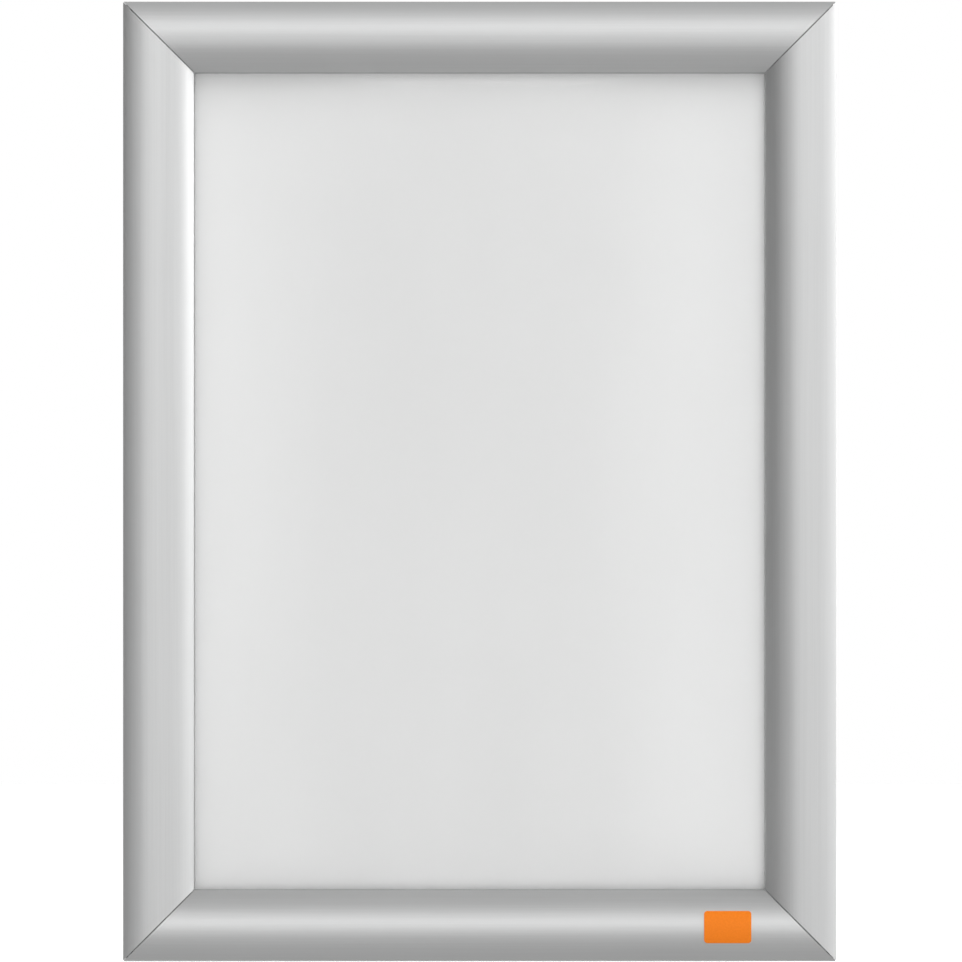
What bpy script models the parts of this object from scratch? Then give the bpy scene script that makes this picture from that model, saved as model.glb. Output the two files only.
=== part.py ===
"""Poster frame with four hinged snap rails, for an A4 sheet.

Metres, +Z up. The wall is the plane y = 0, the front faces -Y, and the origin is
the middle of the frame's back. Every rail is drawn in a rail frame of its own:
x along the rail from its middle, y inwards from its outer edge, z forwards from
the wall. An outline is a list of (inward, forward) points. In a section, angles
start inwards and turn forwards.
"""

from math import acos, asin, atan2, ceil, cos, hypot, pi, radians, sin, sqrt

import bmesh
import bpy
from mathutils import Matrix

MM = 0.001

# Sheet and rail widths, which set the frame's outside
SHEET_WIDTH = 210 * MM
SHEET_HEIGHT = 297 * MM
SHEET_OVERLAP = 4 * MM
RAIL_WIDTH = 25 * MM

# Clearances
FIT_GAP = 0.3 * MM
BASE_MITRE_GAP = 0.3 * MM
SNAP_MITRE_GAP = 0.4 * MM
LABEL_GAP = 0.2 * MM
PANEL_PLAY = 1.5 * MM
CUT_OVERRUN = 1 * MM

# Hinge: a bead on the base rail inside a hook on the snap rail
OPENING_ANGLE = radians(70)
BEAD_RADIUS = 1.3 * MM
NECK_THICKNESS = 0.8 * MM
HOOK_WALL = 1 * MM
HINGE_GAP = 0.2 * MM

# Snap rail
SNAP_WALL = 1.2 * MM
CROWN_RADIUS = 20 * MM
LIP_HEIGHT = 1.3 * MM

# Base rail
BASE_SETBACK = 0.2 * MM
EDGE_SETBACK = 0.6 * MM
FOOT_WALL = 1.2 * MM
CHANNEL_WALL = 1 * MM
CHANNEL_LIP = 1.5 * MM
FLANGE_THICKNESS = 1 * MM
WEB_THICKNESS = 1 * MM
SHELF_THICKNESS = 0.8 * MM
SPRING_RIB_HEIGHT = 1 * MM
SCREW_HOLE_RADIUS = 2.25 * MM
SCREW_FROM_CORNER = 45 * MM

# Corner key
KEY_WIDTH = 9.4 * MM
KEY_THICKNESS = 1.6 * MM
KEY_REACH = 28 * MM
KEY_CHAMFER = 1.5 * MM
KEY_HOLE_RADIUS = 1.6 * MM

# Leaf spring
SPRING_THICKNESS = 0.4 * MM
SPRING_LENGTH = 20 * MM
SPRING_RISE = 1.6 * MM
SPRING_FROM_CORNER = 80 * MM
SPRING_SEAT_ANGLE = radians(-45)

# Panel, clear cover and label
PANEL_THICKNESS = 1 * MM
COVER_THICKNESS = 0.5 * MM
LABEL_THICKNESS = 0.25 * MM
LABEL_WIDTH = 16.7 * MM
LABEL_HEIGHT = 11.8 * MM
LABEL_CORNER_RADIUS = 1.2 * MM
LABEL_FROM_END = 38.2 * MM
LABEL_FROM_EDGE = 12.1 * MM

# Largest turn between two points of a round stretch
HOOK_TURN = radians(12.5)
CROWN_TURN = radians(3.7)
SPRING_TURN = radians(8)
HOLE_SIDES = 24
CORNER_SEGMENTS = 4
SMOOTH_ANGLE = radians(30)

# Outside of the frame
FRAME_WIDTH = SHEET_WIDTH + 2 * (RAIL_WIDTH - SHEET_OVERLAP)
FRAME_HEIGHT = SHEET_HEIGHT + 2 * (RAIL_WIDTH - SHEET_OVERLAP)

# Levels, forwards from the wall
PANEL_BACK = FLANGE_THICKNESS + FIT_GAP
SLOT_FRONT = PANEL_BACK + PANEL_THICKNESS + FIT_GAP
SHELF_FRONT = SLOT_FRONT + SHELF_THICKNESS
COVER_BACK = SHELF_FRONT + FIT_GAP
LIP_BACK = COVER_BACK + COVER_THICKNESS + FIT_GAP
KEY_BACK = FLANGE_THICKNESS + FIT_GAP
CHANNEL_FRONT = KEY_BACK + KEY_THICKNESS + FIT_GAP
WEB_FRONT = CHANNEL_FRONT + WEB_THICKNESS

# Hinge: the hook's outer end lies no further inwards open than closed, so that the
# rail keeps to its side of the mitre. The neck slants so that it just lets the hook's
# outer end past when the rail is open, and its inner end when the rail is closed.
HOOK_INNER_RADIUS = BEAD_RADIUS + HINGE_GAP
HOOK_OUTER_RADIUS = HOOK_INNER_RADIUS + HOOK_WALL
HOOK_OUTER_END = pi - OPENING_ANGLE / 2
NECK_TURN = asin(NECK_THICKNESS / 2 / HOOK_INNER_RADIUS) + HINGE_GAP / HOOK_INNER_RADIUS
NECK_ANGLE = HOOK_OUTER_END + OPENING_ANGLE + NECK_TURN
HOOK_INNER_END = NECK_ANGLE + NECK_TURN - 2 * pi
HINGE = (
    -HOOK_OUTER_RADIUS * cos(HOOK_OUTER_END),
    WEB_FRONT + FIT_GAP + HOOK_OUTER_RADIUS,
)

# Places inwards from the outer edge
FOOT_INNER = BASE_SETBACK + FOOT_WALL
CHANNEL_OUTER = HINGE[0] + HOOK_OUTER_RADIUS
CHANNEL_INNER = CHANNEL_OUTER + KEY_WIDTH + 2 * FIT_GAP
SLOT_OUTER = CHANNEL_INNER + CHANNEL_WALL
PANEL_EDGE = SLOT_OUTER + PANEL_PLAY
SHEET_EDGE = RAIL_WIDTH - SHEET_OVERLAP
STOP_INNER = SHEET_EDGE - FIT_GAP
FLANGE_INNER = RAIL_WIDTH - EDGE_SETBACK
SCREW_PLACE = (CHANNEL_OUTER + CHANNEL_INNER) / 2

# Side name, turn about the frame's Y axis, rail length, distance from the middle
SIDES = {
    "bottom": (0, FRAME_WIDTH, FRAME_HEIGHT / 2),
    "right": (-pi / 2, FRAME_HEIGHT, FRAME_WIDTH / 2),
    "top": (pi, FRAME_WIDTH, FRAME_HEIGHT / 2),
    "left": (pi / 2, FRAME_HEIGHT, FRAME_WIDTH / 2),
}
SPRING_NAMES = {
    "bottom": ("left", "right"),
    "right": ("lower", "upper"),
    "top": ("right", "left"),
    "left": ("upper", "lower"),
}
# Corner name, turn about the frame's Y axis, sides of the middle it lies on
CORNERS = {
    "bottom_left": (0, -1, -1),
    "bottom_right": (-pi / 2, 1, -1),
    "top_right": (pi, 1, 1),
    "top_left": (pi / 2, -1, 1),
}


def clear_scene():
    for obj in list(bpy.data.objects):
        bpy.data.objects.remove(obj, do_unlink=True)


def material(name, colour, roughness, metallic, alpha=1.0):
    made = bpy.data.materials.new(name)
    made.use_nodes = True
    shader = made.node_tree.nodes["Principled BSDF"]
    shader.inputs["Base Color"].default_value = (*colour, 1.0)
    shader.inputs["Roughness"].default_value = roughness
    shader.inputs["Metallic"].default_value = metallic
    shader.inputs["Alpha"].default_value = alpha
    return made


def snap_aluminium():
    return material("satin_anodised_aluminium", (0.70, 0.71, 0.71), 0.34, 1.0)


def base_aluminium():
    return material("mill_aluminium", (0.62, 0.63, 0.63), 0.42, 1.0)


def key_steel():
    return material("zinc_plated_steel", (0.56, 0.57, 0.58), 0.38, 1.0)


def spring_steel():
    return material("spring_steel", (0.40, 0.41, 0.43), 0.30, 1.0)


def panel_plastic():
    return material("white_panel_plastic", (0.78, 0.79, 0.79), 0.55, 0.0)


def clear_plastic():
    return material("anti_glare_clear_plastic", (0.95, 0.96, 0.96), 0.25, 0.0, 0.25)


def label_vinyl():
    return material("orange_label_vinyl", (0.91, 0.24, 0.02), 0.40, 0.0)


def on_circle(centre, radius, angle):
    return (centre[0] + radius * cos(angle), centre[1] + radius * sin(angle))


def angle_from(centre, point):
    return atan2(point[1] - centre[1], point[0] - centre[0])


def arc(centre, radius, start, end, largest_turn):
    """Points along an arc with both its ends, no further apart than the turn."""
    steps = max(1, ceil(abs(end - start) / largest_turn))
    turn = (end - start) / steps
    return [on_circle(centre, radius, start + turn * i) for i in range(steps + 1)]


def crossing(first, first_radius, second, second_radius):
    """Where two circles cross, on the right of the way from first to second."""
    apart = hypot(second[0] - first[0], second[1] - first[1])
    along = (apart**2 + first_radius**2 - second_radius**2) / (2 * apart)
    across = sqrt(first_radius**2 - along**2)
    turn = angle_from(first, second) - atan2(across, along)
    return on_circle(first, first_radius, turn)


def crown_arc():
    """Centre of the snap rail's crown, and the angles at its outer edge and its lip.

    The crown touches the hook's outer circle and ends at the lip's front corner.
    """
    lip_corner = (RAIL_WIDTH, LIP_BACK + LIP_HEIGHT)
    centre = crossing(HINGE, CROWN_RADIUS - HOOK_OUTER_RADIUS, lip_corner, CROWN_RADIUS)
    return centre, acos(-centre[0] / CROWN_RADIUS), angle_from(centre, lip_corner)


def snap_outline():
    centre, edge_angle, lip_angle = crown_arc()
    under_radius = CROWN_RADIUS - SNAP_WALL
    lip_inner = RAIL_WIDTH - SNAP_WALL
    under_end = acos((lip_inner - centre[0]) / under_radius)
    crotch = crossing(centre, under_radius, HINGE, HOOK_OUTER_RADIUS)
    crotch_angle = angle_from(HINGE, crotch)
    return (
        arc(centre, CROWN_RADIUS, edge_angle, lip_angle, CROWN_TURN)
        + [(RAIL_WIDTH, LIP_BACK), (lip_inner, LIP_BACK)]
        + arc(centre, under_radius, under_end, angle_from(centre, crotch), CROWN_TURN)
        + arc(HINGE, HOOK_OUTER_RADIUS, crotch_angle, HOOK_INNER_END, HOOK_TURN)[1:]
        + arc(HINGE, HOOK_INNER_RADIUS, HOOK_INNER_END, HOOK_OUTER_END, HOOK_TURN)
    )


def hinge_outline():
    """The base rail's bead on its slanting neck, from the web to the outer wall."""
    half_neck = NECK_THICKNESS / 2
    root_turn = asin(half_neck / BEAD_RADIUS)
    bead_start = NECK_ANGLE + root_turn - 2 * pi
    inner_side = on_circle(HINGE, half_neck, NECK_ANGLE + pi / 2)
    outer_side = on_circle(HINGE, half_neck, NECK_ANGLE - pi / 2)
    to_web = (WEB_FRONT - inner_side[1]) / sin(NECK_ANGLE)
    to_wall = (BASE_SETBACK - outer_side[0]) / cos(NECK_ANGLE)
    return [
        on_circle(inner_side, to_web, NECK_ANGLE),
        *arc(HINGE, BEAD_RADIUS, bead_start, NECK_ANGLE - root_turn, HOOK_TURN),
        on_circle(outer_side, to_wall, NECK_ANGLE),
    ]


def base_outline():
    hollow_front = WEB_FRONT - FOOT_WALL
    wall_outer = CHANNEL_OUTER - CHANNEL_WALL
    return [
        (BASE_SETBACK, 0),
        (FOOT_INNER, 0),
        (FOOT_INNER, hollow_front),
        (wall_outer, hollow_front),
        (wall_outer, 0),
        (CHANNEL_OUTER + CHANNEL_LIP, 0),
        (CHANNEL_OUTER + CHANNEL_LIP, FLANGE_THICKNESS),
        (CHANNEL_OUTER, FLANGE_THICKNESS),
        (CHANNEL_OUTER, CHANNEL_FRONT),
        (CHANNEL_INNER, CHANNEL_FRONT),
        (CHANNEL_INNER, FLANGE_THICKNESS),
        (CHANNEL_INNER - CHANNEL_LIP, FLANGE_THICKNESS),
        (CHANNEL_INNER - CHANNEL_LIP, 0),
        (FLANGE_INNER, 0),
        (FLANGE_INNER, FLANGE_THICKNESS),
        (SLOT_OUTER, FLANGE_THICKNESS),
        (SLOT_OUTER, SLOT_FRONT),
        (FLANGE_INNER, SLOT_FRONT),
        (FLANGE_INNER, SHELF_FRONT),
        (STOP_INNER, SHELF_FRONT),
        (STOP_INNER, WEB_FRONT),
        (SLOT_OUTER, WEB_FRONT),
        (SLOT_OUTER, WEB_FRONT + SPRING_RIB_HEIGHT),
        (CHANNEL_INNER, WEB_FRONT + SPRING_RIB_HEIGHT),
        (CHANNEL_INNER, WEB_FRONT),
        *hinge_outline(),
    ]


def spring_outline():
    """A bowed strip from the snap rail's hook to the rib on the base rail."""
    half = SPRING_THICKNESS / 2
    hook_end = on_circle(HINGE, HOOK_OUTER_RADIUS + FIT_GAP + half, SPRING_SEAT_ANGLE)
    rib_end = (CHANNEL_INNER - FIT_GAP - half, WEB_FRONT + FIT_GAP + half)
    chord = hypot(rib_end[0] - hook_end[0], rib_end[1] - hook_end[1])
    radius = (chord**2 / 4 + SPRING_RISE**2) / (2 * SPRING_RISE)
    centre = crossing(hook_end, radius, rib_end, radius)
    start = angle_from(centre, hook_end)
    end = angle_from(centre, rib_end)
    outside = arc(centre, radius + half, start, end, SPRING_TURN)
    inside = arc(centre, radius - half, end, start, SPRING_TURN)
    return outside + inside


def mesh_from(bm, name):
    """The finished mesh, closed, facing outwards and smooth where it is round."""
    bmesh.ops.recalc_face_normals(bm, faces=bm.faces)
    mesh = bpy.data.meshes.new(name)
    bm.to_mesh(mesh)
    bm.free()
    mesh.shade_smooth()
    mesh.set_sharp_from_angle(angle=SMOOTH_ANGLE)
    return mesh


def extruded(bm, face):
    """The corners of a copy of the face, joined to it by new sides."""
    made = bmesh.ops.extrude_face_region(bm, geom=[face])
    return [item for item in made["geom"] if isinstance(item, bmesh.types.BMVert)]


def mitred_bar(name, outline, length, mitre_gap, axis=(0, 0)):
    """A rail with the outline as its section, mitred at both ends.

    The mesh is measured from the axis, an (inward, forward) point.
    """
    bm = bmesh.new()
    first = mitre_gap / sqrt(2) - length / 2
    corners = [bm.verts.new((first + u, u - axis[0], w - axis[1])) for u, w in outline]
    for vert in extruded(bm, bm.faces.new(corners)):
        vert.co.x = -vert.co.x
    return mesh_from(bm, name)


def square_bar(name, outline, length):
    """A strip with the outline as its section and square ends."""
    bm = bmesh.new()
    corners = [bm.verts.new((-length / 2, u, w)) for u, w in outline]
    for vert in extruded(bm, bm.faces.new(corners)):
        vert.co.x = -vert.co.x
    return mesh_from(bm, name)


def slab(name, width, height, thickness):
    """A sheet that stands on the frame's middle, with its back on y = 0."""
    bm = bmesh.new()
    bmesh.ops.create_cube(bm, size=1)
    bmesh.ops.scale(bm, vec=(width, thickness, height), verts=bm.verts)
    bmesh.ops.translate(bm, vec=(0, -thickness / 2, 0), verts=bm.verts)
    return mesh_from(bm, name)


def key_mesh():
    """An L plate with one leg along x and one along y, chamfered at its ends."""
    near = CHANNEL_OUTER + FIT_GAP
    far = near + KEY_WIDTH
    outline = [
        (near, near),
        (KEY_REACH, near),
        (KEY_REACH, far),
        (far, far),
        (far, KEY_REACH),
        (near, KEY_REACH),
    ]
    bm = bmesh.new()
    corners = [bm.verts.new((x, y, KEY_BACK)) for x, y in outline]
    bm.faces.new(corners)
    ends = [corner for corner, point in zip(corners, outline) if KEY_REACH in point]
    bmesh.ops.bevel(
        bm,
        geom=ends,
        offset=KEY_CHAMFER,
        segments=1,
        profile=0.5,
        affect="VERTICES",
        material=-1,
    )
    front = extruded(bm, bm.faces[:][0])
    bmesh.ops.translate(bm, vec=(0, 0, KEY_THICKNESS), verts=front)
    return mesh_from(bm, "corner_key")


def label_mesh():
    """A rounded rectangle laid over the crown, measured from the hinge axis."""
    centre, edge_angle, lip_angle = crown_arc()
    middle = acos((LABEL_FROM_EDGE - centre[0]) / CROWN_RADIUS)
    steps = ceil(abs(lip_angle - edge_angle) / CROWN_TURN)
    step = (lip_angle - edge_angle) / steps
    bm = bmesh.new()
    bmesh.ops.create_grid(bm, x_segments=1, y_segments=1, size=0.5)
    bmesh.ops.scale(bm, vec=(LABEL_WIDTH, LABEL_HEIGHT, 1), verts=bm.verts)
    bmesh.ops.bevel(
        bm,
        geom=bm.verts[:],
        offset=LABEL_CORNER_RADIUS,
        segments=CORNER_SEGMENTS,
        profile=0.5,
        affect="VERTICES",
        material=-1,
    )
    for index in range(steps + 1):
        across = (middle - edge_angle - step * index) * CROWN_RADIUS
        geometry = bm.verts[:] + bm.edges[:] + bm.faces[:]
        bmesh.ops.bisect_plane(bm, geom=geometry, plane_co=(0, across, 0), plane_no=(0, 1, 0))
    made = bmesh.ops.extrude_face_region(bm, geom=bm.faces[:])
    raised = {item for item in made["geom"] if isinstance(item, bmesh.types.BMVert)}
    for vert in bm.verts:
        lift = LABEL_GAP + (LABEL_THICKNESS if vert in raised else 0)
        u, w = on_circle(centre, CROWN_RADIUS + lift, middle - vert.co.y / CROWN_RADIUS)
        vert.co = (vert.co.x, u - HINGE[0], w - HINGE[1])
    return mesh_from(bm, "badge_label")


def empty(name, matrix, parent=None):
    made = bpy.data.objects.new(name, None)
    bpy.context.collection.objects.link(made)
    made.parent = parent
    made.matrix_local = matrix
    return made


def piece(name, mesh, finish, parent=None, location=(0, 0, 0)):
    made = bpy.data.objects.new(name, mesh)
    bpy.context.collection.objects.link(made)
    if not mesh.materials:
        mesh.materials.append(finish)
    made.parent = parent
    made.location = location
    return made


def cutter(name, bm, parent):
    """A hidden body that a Boolean takes away."""
    made = bpy.data.objects.new(name, mesh_from(bm, name))
    bpy.context.collection.objects.link(made)
    made.parent = parent
    made.hide_render = True
    made.display_type = "WIRE"
    return made


def cut(target, tool):
    boolean = target.modifiers.new(tool.name, "BOOLEAN")
    boolean.operation = "DIFFERENCE"
    boolean.solver = "EXACT"
    boolean.object = tool


def drill(bm, radius, start, end, place):
    """A hole's body along z, from start to end, at an (x, y) place."""
    made = bmesh.ops.create_cone(
        bm,
        cap_ends=True,
        segments=HOLE_SIDES,
        radius1=radius,
        radius2=radius,
        depth=end - start,
    )
    centre = (*place, (start + end) / 2)
    bmesh.ops.translate(bm, vec=centre, verts=made["verts"])


def screw_holes(side, length, parent):
    """Holes for the wall screws through the web of a short rail."""
    bm = bmesh.new()
    for direction in (-1, 1):
        place = (direction * (length / 2 - SCREW_FROM_CORNER), SCREW_PLACE)
        start = CHANNEL_FRONT - CUT_OVERRUN
        drill(bm, SCREW_HOLE_RADIUS, start, WEB_FRONT + CUT_OVERRUN, place)
    return cutter(f"screw_holes_{side}", bm, parent)


def hook_reliefs(side, length, parent):
    """Behind the hinge axis the hook stops short of each mitre, so that it swings
    clear of the next rail. The cut is measured from the axis."""
    reach = HINGE[0] + HOOK_OUTER_RADIUS + SNAP_MITRE_GAP / sqrt(2)
    depth = HOOK_OUTER_RADIUS + FIT_GAP
    size = (reach + CUT_OVERRUN, 2 * depth, depth)
    bm = bmesh.new()
    for direction in (-1, 1):
        made = bmesh.ops.create_cube(bm, size=1)
        bmesh.ops.scale(bm, vec=size, verts=made["verts"])
        middle = direction * (length / 2 + CUT_OVERRUN - size[0] / 2)
        place = (middle, 0, -depth / 2)
        bmesh.ops.translate(bm, vec=place, verts=made["verts"])
    return cutter(f"hook_reliefs_{side}", bm, parent)


def key_holes(corner, parent):
    """A staking hole in each leg of a corner key."""
    along = KEY_REACH - KEY_WIDTH / 2
    across = CHANNEL_OUTER + FIT_GAP + KEY_WIDTH / 2
    bm = bmesh.new()
    for place in ((along, across), (across, along)):
        end = KEY_BACK + KEY_THICKNESS + CUT_OVERRUN
        drill(bm, KEY_HOLE_RADIUS, KEY_BACK - CUT_OVERRUN, end, place)
    return cutter(f"key_holes_{corner}", bm, parent)


def build_rail(side, meshes, finishes):
    """One side: its base rail, its snap rail on the hinge axis and its springs."""
    turn, length, distance = SIDES[side]
    upright = Matrix.Rotation(pi / 2, 4, "X")
    edge = Matrix.Translation((0, 0, -distance))
    place = empty(f"rail_{side}", Matrix.Rotation(turn, 4, "Y") @ edge @ upright)
    base = piece(f"base_rail_{side}", meshes["base", length], finishes["base"], place)
    if side in ("top", "bottom"):
        cut(base, screw_holes(side, length, place))
    pivot = empty(f"hinge_{side}", Matrix.Translation((0, *HINGE)), place)
    snap = piece(f"snap_rail_{side}", meshes["snap", length], finishes["snap"], pivot)
    cut(snap, hook_reliefs(side, length, pivot))
    reach = length / 2 - SPRING_FROM_CORNER
    for end, along in zip(SPRING_NAMES[side], (-reach, reach)):
        name = f"leaf_spring_{side}_{end}"
        piece(name, meshes["spring"], finishes["spring"], place, (along, 0, 0))
    return pivot


def build_corner(corner, mesh, finish):
    turn, right, up = CORNERS[corner]
    outer = Matrix.Translation((right * FRAME_WIDTH / 2, 0, up * FRAME_HEIGHT / 2))
    upright = Matrix.Rotation(pi / 2, 4, "X")
    place = empty(f"corner_{corner}", outer @ Matrix.Rotation(turn, 4, "Y") @ upright)
    cut(piece(f"corner_key_{corner}", mesh, finish, place), key_holes(corner, place))


def build_label(pivot, finish):
    along = FRAME_WIDTH / 2 - LABEL_FROM_END
    piece("badge_label", label_mesh(), finish, pivot, (along, 0, 0))


def build_panel():
    width = FRAME_WIDTH - 2 * PANEL_EDGE
    height = FRAME_HEIGHT - 2 * PANEL_EDGE
    mesh = slab("back_panel", width, height, PANEL_THICKNESS)
    piece("back_panel", mesh, panel_plastic(), location=(0, -PANEL_BACK, 0))


def build_clear_cover():
    mesh = slab("clear_cover", SHEET_WIDTH, SHEET_HEIGHT, COVER_THICKNESS)
    piece("clear_cover", mesh, clear_plastic(), location=(0, -COVER_BACK, 0))


def main():
    clear_scene()
    finishes = {
        "base": base_aluminium(),
        "snap": snap_aluminium(),
        "spring": spring_steel(),
    }
    meshes = {"spring": square_bar("leaf_spring", spring_outline(), SPRING_LENGTH)}
    for length in (FRAME_WIDTH, FRAME_HEIGHT):
        meshes["base", length] = mitred_bar("base_rail", base_outline(), length, BASE_MITRE_GAP)
        meshes["snap", length] = mitred_bar(
            "snap_rail", snap_outline(), length, SNAP_MITRE_GAP, HINGE
        )
    pivots = {side: build_rail(side, meshes, finishes) for side in SIDES}
    key = key_mesh()
    steel = key_steel()
    for corner in CORNERS:
        build_corner(corner, key, steel)
    build_panel()
    build_clear_cover()
    build_label(pivots["bottom"], label_vinyl())


main()
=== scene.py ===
"""Looks of a wall poster frame: snap rails, base rails, panel, clear cover and label.

Metres, +Z up, the front faces -Y and the wall is the plane y = 0. A rail is drawn in
a rail frame of its own: x along the rail from its middle, y inwards from its outer
edge, z forwards from the wall. An outline across a rail is made of (inward, forward)
points, and its angles start inwards and turn forwards.
"""

import logging
from collections.abc import Mapping, Sequence
from dataclasses import dataclass, field, replace
from enum import Enum
from math import acos, asin, atan2, cos, hypot, pi, prod, radians, sin, sqrt

import bmesh
import bpy
from bmesh.types import BMEdge, BMesh, BMFace, BMVert
from bpy.types import ID, Material, Node, NodeSocket, Object, World
from mathutils import Matrix, Vector


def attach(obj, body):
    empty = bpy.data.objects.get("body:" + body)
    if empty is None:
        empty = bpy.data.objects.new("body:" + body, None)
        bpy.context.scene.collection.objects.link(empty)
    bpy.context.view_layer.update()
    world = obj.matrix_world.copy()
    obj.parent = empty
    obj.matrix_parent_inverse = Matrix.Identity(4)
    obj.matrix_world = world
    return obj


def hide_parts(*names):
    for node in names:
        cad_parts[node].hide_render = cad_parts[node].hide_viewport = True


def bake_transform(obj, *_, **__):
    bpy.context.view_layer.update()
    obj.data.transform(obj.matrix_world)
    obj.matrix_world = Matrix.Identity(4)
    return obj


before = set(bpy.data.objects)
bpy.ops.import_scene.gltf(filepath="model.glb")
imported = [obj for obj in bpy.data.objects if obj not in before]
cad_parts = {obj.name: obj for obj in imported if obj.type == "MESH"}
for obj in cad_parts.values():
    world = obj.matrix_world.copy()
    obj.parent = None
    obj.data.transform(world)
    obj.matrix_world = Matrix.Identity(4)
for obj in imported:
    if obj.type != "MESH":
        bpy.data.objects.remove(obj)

MM = 0.001
CORNER_STEPS = 4
SHEET_CORNER_STEPS = 8
HOLE_SIDES = 48
SAWN_FINISH = 1
# Face number of the painted shade on the snap rails' lips.
PAINTED_SHADE_SLOT = 2
WHITE = (1.0, 1.0, 1.0, 1.0)
LOG = logging.getLogger("poster_frame")

Point = tuple[float, float]
Triple = tuple[float, float, float]
Colour = tuple[float, float, float]


def on_circle(centre: Point, radius: float, angle: float) -> Point:
    """The point of a circle at an angle."""
    return (centre[0] + radius * cos(angle), centre[1] + radius * sin(angle))


def angle_from(centre: Point, point: Point) -> float:
    """The angle at which a centre sees a point."""
    return atan2(point[1] - centre[1], point[0] - centre[0])


def crossing(first: Point, first_radius: float, second: Point, second_radius: float) -> Point:
    """Finds where two circles cross.

    Args:
        first: Centre of the first circle.
        first_radius: Its radius.
        second: Centre of the second circle.
        second_radius: Its radius.

    Returns:
        The crossing on the right of the way from first to second.
    """
    apart = hypot(second[0] - first[0], second[1] - first[1])
    along = (apart**2 + first_radius**2 - second_radius**2) / (2 * apart)
    across = sqrt(first_radius**2 - along**2)
    return on_circle(first, first_radius, angle_from(first, second) - atan2(across, along))


@dataclass(frozen=True)
class FrameSizes:
    """The sizes that the frame's pieces share."""

    width: float = 252 * MM
    height: float = 339 * MM
    rail_width: float = 25 * MM
    fit_gap: float = 0.3 * MM
    web_front: float = 4.2 * MM
    channel_front: float = 3.2 * MM
    flange: float = 1 * MM
    panel_back: float = 1.3 * MM
    cover_back: float = 3.7 * MM
    lip_back: float = 4.5 * MM
    lip_height: float = 1.3 * MM
    opening: float = radians(70)
    bead_radius: float = 1.3 * MM
    neck: float = 0.8 * MM
    hook_wall: float = 1 * MM
    hinge_gap: float = 0.2 * MM
    crown_radius: float = 20 * MM
    key_width: float = 9.4 * MM
    channel_wall: float = 1 * MM

    @property
    def hook_inner_radius(self) -> float:
        """Inside radius of the snap rail's hook."""
        return self.bead_radius + self.hinge_gap

    @property
    def hook_outer_radius(self) -> float:
        """Outside radius of the snap rail's hook."""
        return self.hook_inner_radius + self.hook_wall

    @property
    def hook_outer_end(self) -> float:
        """Angle at which the hook ends on the outer edge."""
        return pi - self.opening / 2

    @property
    def neck_turn(self) -> float:
        """Half the angle that the bead's neck takes inside the hook."""
        half = asin(self.neck / 2 / self.hook_inner_radius)
        return half + self.hinge_gap / self.hook_inner_radius

    @property
    def neck_angle(self) -> float:
        """Angle of the bead's neck, just past the open hook's outer end."""
        return self.hook_outer_end + self.opening + self.neck_turn

    @property
    def hook_inner_end(self) -> float:
        """Angle at which the hook ends behind the bead."""
        return self.neck_angle + self.neck_turn - 2 * pi

    @property
    def hinge(self) -> Point:
        """Hinge axis, as an (inward, forward) point."""
        inward = -self.hook_outer_radius * cos(self.hook_outer_end)
        return (inward, self.web_front + self.fit_gap + self.hook_outer_radius)

    @property
    def crown_centre(self) -> Point:
        """Centre of the crown, which touches the hook and ends at the lip's corner."""
        lip = (self.rail_width, self.lip_back + self.lip_height)
        reach = self.crown_radius - self.hook_outer_radius
        return crossing(self.hinge, reach, lip, self.crown_radius)

    @property
    def channel_outer(self) -> float:
        """Outer side of the channel for the corner keys."""
        return self.hinge[0] + self.hook_outer_radius

    @property
    def channel_inner(self) -> float:
        """Inner side of the channel for the corner keys."""
        return self.channel_outer + self.key_width + 2 * self.fit_gap


SIZES = FrameSizes()


class Grain(Enum):
    """The way that the streaks of a drawn metal run."""

    LEVEL = (1, 0, 0)
    UPRIGHT = (0, 0, 1)
    NONE = (0, 0, 0)


class Side(Enum):
    """A side of the frame, with its turn about the frame's Y axis."""

    BOTTOM = 0.0
    RIGHT = -pi / 2
    TOP = pi
    LEFT = pi / 2

    @property
    def word(self) -> str:
        """The side's name inside piece names."""
        return self.name.lower()

    @property
    def body(self) -> str:
        """The moving body of the side's snap rail."""
        return f"{self.word}_snap_rail"

    @property
    def level(self) -> bool:
        """True for the top and the bottom."""
        return self in (Side.BOTTOM, Side.TOP)

    @property
    def grain(self) -> Grain:
        """The way that the side's rails were drawn."""
        return Grain.LEVEL if self.level else Grain.UPRIGHT

    @property
    def length(self) -> float:
        """Length of the side's rails at their outer edge."""
        return SIZES.width if self.level else SIZES.height

    @property
    def place(self) -> Matrix:
        """Turns the rail frame into the frame's own axes."""
        distance = (SIZES.height if self.level else SIZES.width) / 2
        edge = Matrix.Translation((0, 0, -distance))
        return Matrix.Rotation(self.value, 4, "Y") @ edge @ Matrix.Rotation(pi / 2, 4, "X")


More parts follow.
